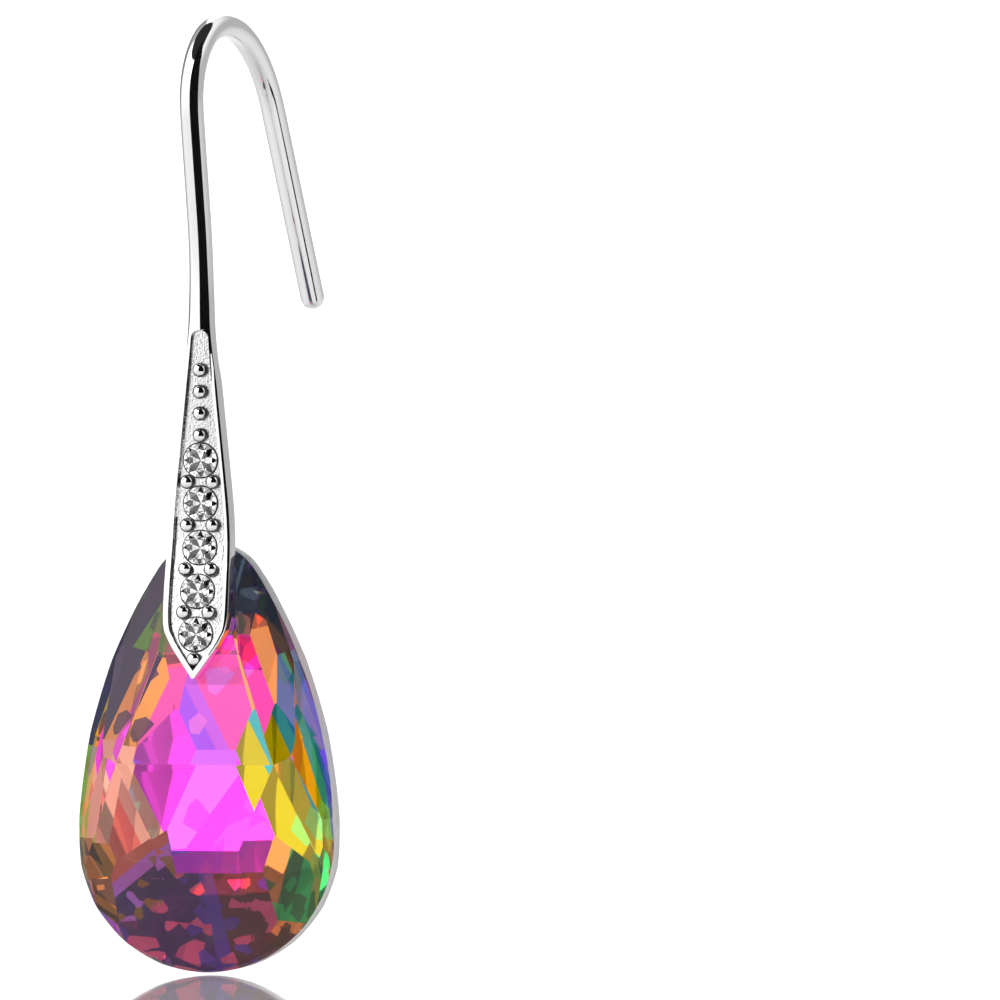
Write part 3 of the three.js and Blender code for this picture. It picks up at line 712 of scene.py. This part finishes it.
grain = np.radians(np.linspace(-89, 89, 17))
grain_profile = np.column_stack([np.cos(grain), np.sin(grain)]) * BEAD / 2
grains = []
grain_heights = []
for x, z in bead_places():
    place, axes = face_frame(x, z, BEAD / 2 - BEAD_PROUD)
    points, faces = skin(lathe(grain_profile, 24))
    grains.append((points @ axes + place, faces))
    grain_heights += [points[list(face), 2].mean() / (BEAD / 2) for face in faces]
grains = mesh_from_faces("bead_grains", *joined(grains))
grains.data.shade_smooth()

seat_wall = STONE / 2 + STONE_CLEARANCE
seat_profile = [
    (SEAT_POINT, -STONE_GIRDLE - STONE_PAVILION - 0.08e-3),
    (seat_wall, -STONE_GIRDLE - 0.05e-3),
    (seat_wall, GIRDLE_DOWN + 0.5e-3),
]
seats = []
for z in STONE_HEIGHTS:
    place, axes = face_frame(0, z, GIRDLE_DOWN)
    points, faces = skin(lathe(seat_profile, 48))
    seats.append((points @ axes + place, faces))
seats = mesh_from_faces("stone_seats", *joined(seats))
# The surfaces are numbered before the seats are cut, and their materials are filled in below.
# The third surface is painted shade, for the seats and the grains' feet.
POLISHED, CAST, SHADE_PAINTED = range(3)
for _ in (POLISHED, CAST, SHADE_PAINTED):
    casting.data.materials.append(None)
casting.data.polygons.foreach_set(
    "material_index", np.where(on_floor & below_arch, CAST, POLISHED).astype(np.int32)
)
carve(casting, seats)
faces = casting.data.polygons
centres = np.empty(3 * len(faces))
faces.foreach_get("center", centres)
surface = np.empty(len(faces), np.int32)
faces.foreach_get("material_index", surface)
# Faces inside each stone's seat get the painted shade.
for z in STONE_HEIGHTS:
    place, axes = face_frame(0, z, GIRDLE_DOWN)
    local = (centres.reshape(-1, 3) - place) @ axes.T
    in_seat = (local[:, 2] > seat_profile[0][1] - 0.02e-3) & (local[:, 2] < GIRDLE_DOWN)
    surface[(np.hypot(local[:, 0], local[:, 1]) < seat_wall) & in_seat] = SHADE_PAINTED
faces.foreach_set("material_index", surface)
casting.data.shade_smooth()
casting.data.set_sharp_from_angle(angle=np.radians(35))
weighted = casting.modifiers.new("flats", "WEIGHTED_NORMAL")
weighted.keep_sharp = True


def polished_metal():
    """Rhodium plate polished like a mirror, with faint haze and a slight waviness from casting."""
    material, shader, place = new_surface("rhodium", Metallic=1.0, Base_Color=(0.9, 0.905, 0.91, 1))
    tree = place.tree
    haze = place.node("ShaderNodeTexNoise", Vector=place, Scale=1400.0, Detail=3.0)
    tree.links.new((haze * 0.04 + 0.02).socket, shader.inputs["Roughness"])
    wave = place.node("ShaderNodeTexNoise", Vector=place, Scale=420.0, Detail=1.0)
    bump = wave.node("ShaderNodeBump", Strength=0.05, Distance=BUMP_DEPTH, Height=wave)
    tree.links.new(bump.socket, shader.inputs["Normal"])
    return material


def cast_floor():
    """The channel's floor, as cast under the same plate: too deep to polish, so it keeps a fine grain."""
    material, shader, place = new_surface("cast_floor", Metallic=1.0, Base_Color=(0.93, 0.935, 0.94, 1))
    tree = place.tree
    grit = place.node("ShaderNodeTexNoise", Vector=place, Scale=9000.0, Detail=3.0)
    tree.links.new((grit * 0.2 + 0.1).socket, shader.inputs["Roughness"])
    bump = grit.node("ShaderNodeBump", Strength=0.4, Distance=BUMP_DEPTH, Height=grit)
    tree.links.new(bump.socket, shader.inputs["Normal"])
    return material


def painted_seat_shade():
    """Painted shade for a stone's seat and round a grain's foot: dark metal that stands in for the shade
    there.
    """
    material, shader, place = new_surface("painted_seat_shade", Metallic=1.0, Base_Color=(0.1, 0.1, 0.105, 1))
    chatter = place.node("ShaderNodeTexNoise", Vector=place, Scale=6000.0, Detail=2.0)
    place.tree.links.new((chatter * 0.2 + 0.35).socket, shader.inputs["Roughness"])
    return material


rhodium = polished_metal()
shade_paint = painted_seat_shade()
casting.data.materials[POLISHED] = rhodium
casting.data.materials[CAST] = cast_floor()
casting.data.materials[SHADE_PAINTED] = shade_paint
grains.data.materials.append(rhodium)
grains.data.materials.append(shade_paint)
# The grains' lower faces get the painted shade.
for face, height in zip(grains.data.polygons, grain_heights):
    face.material_index = int(height < BEAD_SHADE_FOOT)
for piece in (casting, grains):
    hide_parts("ear_hook")
    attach(piece, "root")

# Stones. Round clear stones in a brilliant cut: an eight-sided table, stars, kites and halves on the crown,
# mains and halves below, which throw the light back or leak it into the seat, painted dark as shade. The
# back facets are mirrors: those that throw the light back have a painted glow, and those that leak it are
# painted dark, as shade.
STONE_TABLE = 0.9e-3
STONE_IOR = 2.0
# Where the smaller facets meet, as shares: up the crown, and in and down the back.
STAR_RISE = 0.64
HALF_REACH = 0.5
HALF_FALL = 0.56


def brilliant():
    """Corners of the cut, about the girdle's upper edge: table, kite shoulders, girdle twice, lower halves
    and the point."""
    def circle(count, radius, height, turn):
        angle = 2 * np.pi * (np.arange(count) + turn) / count
        return np.column_stack([radius * np.cos(angle), radius * np.sin(angle), np.full(count, height)])
    radius = STONE / 2
    return np.vstack([
        circle(8, STONE_TABLE / 2, STONE_CROWN, 0),
        circle(8, (radius + STONE_TABLE / 2) / 2, STAR_RISE * STONE_CROWN, 0.5),
        circle(16, radius, 0, 0),
        circle(16, radius, -STONE_GIRDLE, 0),
        circle(8, HALF_REACH * radius, -STONE_GIRDLE - HALF_FALL * STONE_PAVILION, 0.5),
        [[0, 0, -STONE_GIRDLE - STONE_PAVILION]],
    ])


def hull_mesh(name, points):
    """The convex hull of some points, with its flat faces made whole."""
    body = bmesh.new()
    for point in points:
        body.verts.new(point)
    bmesh.ops.convex_hull(body, input=body.verts)
    bmesh.ops.dissolve_limit(body, angle_limit=np.radians(0.5), verts=body.verts, edges=body.edges)
    bmesh.ops.recalc_face_normals(body, faces=body.faces)
    mesh = bpy.data.meshes.new(name)
    body.to_mesh(mesh)
    body.free()
    return mesh


def stone_back(name, level, painted_glow):
    """A stone's back facets: how much of the light they throw back like a mirror, and a painted glow that
    stands in for the light that the other facets have scattered. A low level paints the facet dark, as
    shade."""
    material, shader, place = new_surface(
        name,
        Metallic=1.0,
        Base_Color=(level, level, level, 1),
        Emission_Color=(1, 1, 1, 1),
        Emission_Strength=painted_glow,
    )
    cloud = place.node("ShaderNodeTexNoise", Vector=place, Scale=1500.0, Detail=2.0)
    place.tree.links.new((cloud * 0.03).socket, shader.inputs["Roughness"])
    return material


stone_glass = clear_glass("stone_glass", STONE_IOR)
# Back facets by how many corners they have on the girdle: the middle ones, the points between and the
# halves. The mains and halves have a painted glow. The points and every second middle one, which leak light
# into the seat, are painted dark, as shade.
stone_backs = [
    stone_back("stone_mains_painted_glow", 0.9, 0.45),
    stone_back("stone_points_painted_dark", 0.03, 0.0),
    stone_back("stone_halves_painted_glow", 0.9, 0.4),
    stone_back("stone_leaks_painted_dark", 0.05, 0.0),
]
for number, z in enumerate(STONE_HEIGHTS, 1):
    place, axes = face_frame(0, z, GIRDLE_DOWN)
    mesh = hull_mesh(f"round_stone_{number}", brilliant())
    mesh.materials.append(stone_glass)
    for material in stone_backs:
        mesh.materials.append(material)
    corners = np.array([corner.co for corner in mesh.vertices])
    on_girdle = np.hypot(corners[:, 0], corners[:, 1]) > 0.45 * STONE
    for face in mesh.polygons:
        if face.normal.z < -0.05:
            face.material_index = 1 + min(2, np.count_nonzero(on_girdle[list(face.vertices)]))
            eighth = int(np.arctan2(face.center.y, face.center.x) % (2 * np.pi) / (np.pi / 4) + 0.5)
            if face.material_index == 1 and eighth % 2:
                face.material_index = 4
    mesh.transform(Matrix(np.column_stack([*axes, place]).tolist()).to_4x4())
    stone = bpy.data.objects.new(f"round_stone_{number}", mesh)
    scene.collection.objects.link(stone)
    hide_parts(f"stone_{number}")
    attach(stone, "root")

# Pin. A short turned pin that carries the crystal: its front end is fixed in the bail's back, and its
# domed head stands behind the crystal.
PIN = 0.8e-3
PIN_CHAMFER = 0.12e-3
PIN_HEAD = 1.7e-3
PIN_HEAD_EDGE = 0.2e-3
PIN_HEAD_DOME = 0.3e-3
neck = PIN_HIGH[1] - PIN_LOW[1] - PIN_HEAD_EDGE - PIN_HEAD_DOME
dome = np.radians(np.linspace(0, 86, 10))[1:]
pin_profile = [
    (0.6 * PIN / 2, 0.0),
    (PIN / 2, PIN_CHAMFER),
    (PIN / 2, neck),
    (0.94 * PIN_HEAD / 2, neck),
    (PIN_HEAD / 2, neck + 0.05e-3),
    (PIN_HEAD / 2, neck + PIN_HEAD_EDGE),
    *[(PIN_HEAD / 2 * np.cos(a), neck + PIN_HEAD_EDGE + PIN_HEAD_DOME * np.sin(a)) for a in dome],
]
points, faces = skin(lathe(pin_profile, 48))
points = points @ BACKWARDS + [PIN_MIDDLE[0], PIN_LOW[1], PIN_MIDDLE[2]]
pin = mesh_from_faces("pin", points, faces)
pin.data.shade_smooth()
pin.data.set_sharp_from_angle(angle=np.radians(40))
pin.data.materials.append(rhodium)
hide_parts("drop_pin")
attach(pin, "root")

# Floor and studio. A pale glossy table top, and a white tent that is dark behind on the left, grey on the
# right and open at its top. A card of dark felt, which the camera doesn't see, is mirrored in the metal.
floor = mesh_from_faces("floor", [(-9, -3, 0), (9, -3, 0), (9, 15, 0), (-9, 15, 0)], [(0, 1, 2, 3)])
floor.data.transform(Matrix.Translation((0, 0, DROP_LOW[2] - 0.0001)))
table_top, shader, place = new_surface("table_top", Base_Color=(0.95, 0.95, 0.95, 1), Roughness=0.25)
grain_noise = place.node("ShaderNodeTexNoise", Vector=place, Scale=1500.0)
place.tree.links.new((grain_noise * 0.02 + 0.03).socket, shader.inputs["Roughness"])
floor.data.materials.append(table_top)

CARD_REACH = 25e-3
CARD_POINTS = 30


def card_row(height, first, last, count):
    """Points of the card at one height: its reach along directions from first to last, in degrees from the
    front to the right."""
    turn = np.radians(np.linspace(first, last, count))
    return np.column_stack([CARD_REACH * np.sin(turn), -CARD_REACH * np.cos(turn), np.full(count, height)])


# Three rows make the card, and two a small strip beside it.
card_points = [
    card_row(-24e-3, -8, 72, CARD_POINTS),
    card_row(10e-3, -8, 72, CARD_POINTS),
    card_row(60e-3, 20, 72, CARD_POINTS),
    card_row(-38e-3, 80, 99, 2),
    card_row(-19e-3, 80, 99, 2),
]
quads = [i for i in range(2 * CARD_POINTS) if (i + 1) % CARD_POINTS]
card_faces = [(i, i + 1, i + 1 + CARD_POINTS, i + CARD_POINTS) for i in quads]
strip = 3 * CARD_POINTS
card_faces.append((strip, strip + 1, strip + 3, strip + 2))
card = mesh_from_faces("dark_card", np.vstack(card_points), card_faces)
felt, shader, place = new_surface("felt", Base_Color=(0.01, 0.01, 0.01, 1), Roughness=0.9)
shader.inputs["Specular IOR Level"].default_value = 0.0
nap = place.node("ShaderNodeTexNoise", Vector=place, Scale=4000.0)
place.tree.links.new((nap * 0.1 + 0.85).socket, shader.inputs["Roughness"])
card.data.materials.append(felt)
card.visible_camera = False

world = bpy.data.worlds.new("studio")
scene.world = world
world.use_nodes = True
tree = world.node_tree
background = tree.nodes["Background"]
ray = Value(tree, tree.nodes.new("ShaderNodeLightPath").outputs["Is Camera Ray"])
direction = Value(tree, tree.nodes.new("ShaderNodeTexCoord").outputs["Generated"])
x, y, height = direction.split()
round_share = x.maths("ARCTAN2", x, y * -1) * (0.5 / np.pi) + 0.5
# The tent's light by direction, in degrees from the front to the right.
stops = [(-180, 0.7), (-174, 1.0), (-164, 1.0), (-156, 0.15), (-114, 0.18), (-98, 1.0)]
stops += [(-14, 1.0), (-8, 0.8), (70, 0.8), (82, 0.4), (172, 0.36)]
ramp = tree.nodes.new("ShaderNodeValToRGB")
while len(ramp.color_ramp.elements) < len(stops):
    ramp.color_ramp.elements.new(0.5)
for element, (angle, level) in zip(ramp.color_ramp.elements, stops):
    element.position = angle / 360 + 0.5
    element.color = (level, level, level, 1)
tree.links.new(round_share.socket, ramp.inputs["Fac"])
wall_light = Value(tree, ramp.outputs["Color"])
# Lamps over the tent make it up to twice as bright high up. Its top is open and dark.
LAMPS_FROM, LAMPS_RISE = 0.35, 4
TENT_TOP, TENT_EDGE = 0.82, 25
lamps = ((height - LAMPS_FROM) * LAMPS_RISE).clamped()
tent = blend((TENT_TOP - height) * TENT_EDGE, (0.02, 0.02, 0.02, 1), wall_light + wall_light * lamps)
# The camera itself sees a plain white background.
shown = blend(ray, tent, (1, 1, 1, 1))
tree.links.new(shown.socket, background.inputs["Color"])
background.inputs["Strength"].default_value = 1.3

PHOTO_SIDE = 1000
METRES_PER_PIXEL = 0.047e-3
# Where the earring's origin, under the wire's crown, lies in the photo: pixels from its upper left corner.
ORIGIN_AT = (226, 38)
LENS = 800
SENSOR = 36
azimuth, elevation = np.radians(13), np.radians(1.5)
right = np.array([np.cos(azimuth), np.sin(azimuth), 0])
level_away = np.array([-np.sin(azimuth), np.cos(azimuth), 0])
away = level_away * np.cos(elevation) - np.array([0, 0, np.sin(elevation)])
up = np.cross(right, away)
camera_data = bpy.data.cameras.new("camera")
camera = bpy.data.objects.new("camera", camera_data)
scene.collection.objects.link(camera)
camera_data.sensor_width = SENSOR
camera_data.lens = LENS
camera_data.clip_end = 60
distance = PHOTO_SIDE * METRES_PER_PIXEL * LENS / SENSOR
middle = PHOTO_SIDE / 2
aim = (right * (middle - ORIGIN_AT[0]) - up * (middle - ORIGIN_AT[1])) * METRES_PER_PIXEL
turned = Matrix(np.column_stack([right, up, -away]).tolist()).to_4x4()
camera.matrix_world = Matrix.Translation(aim - away * distance) @ turned
scene.camera = camera
scene.view_settings.view_transform = "Standard"
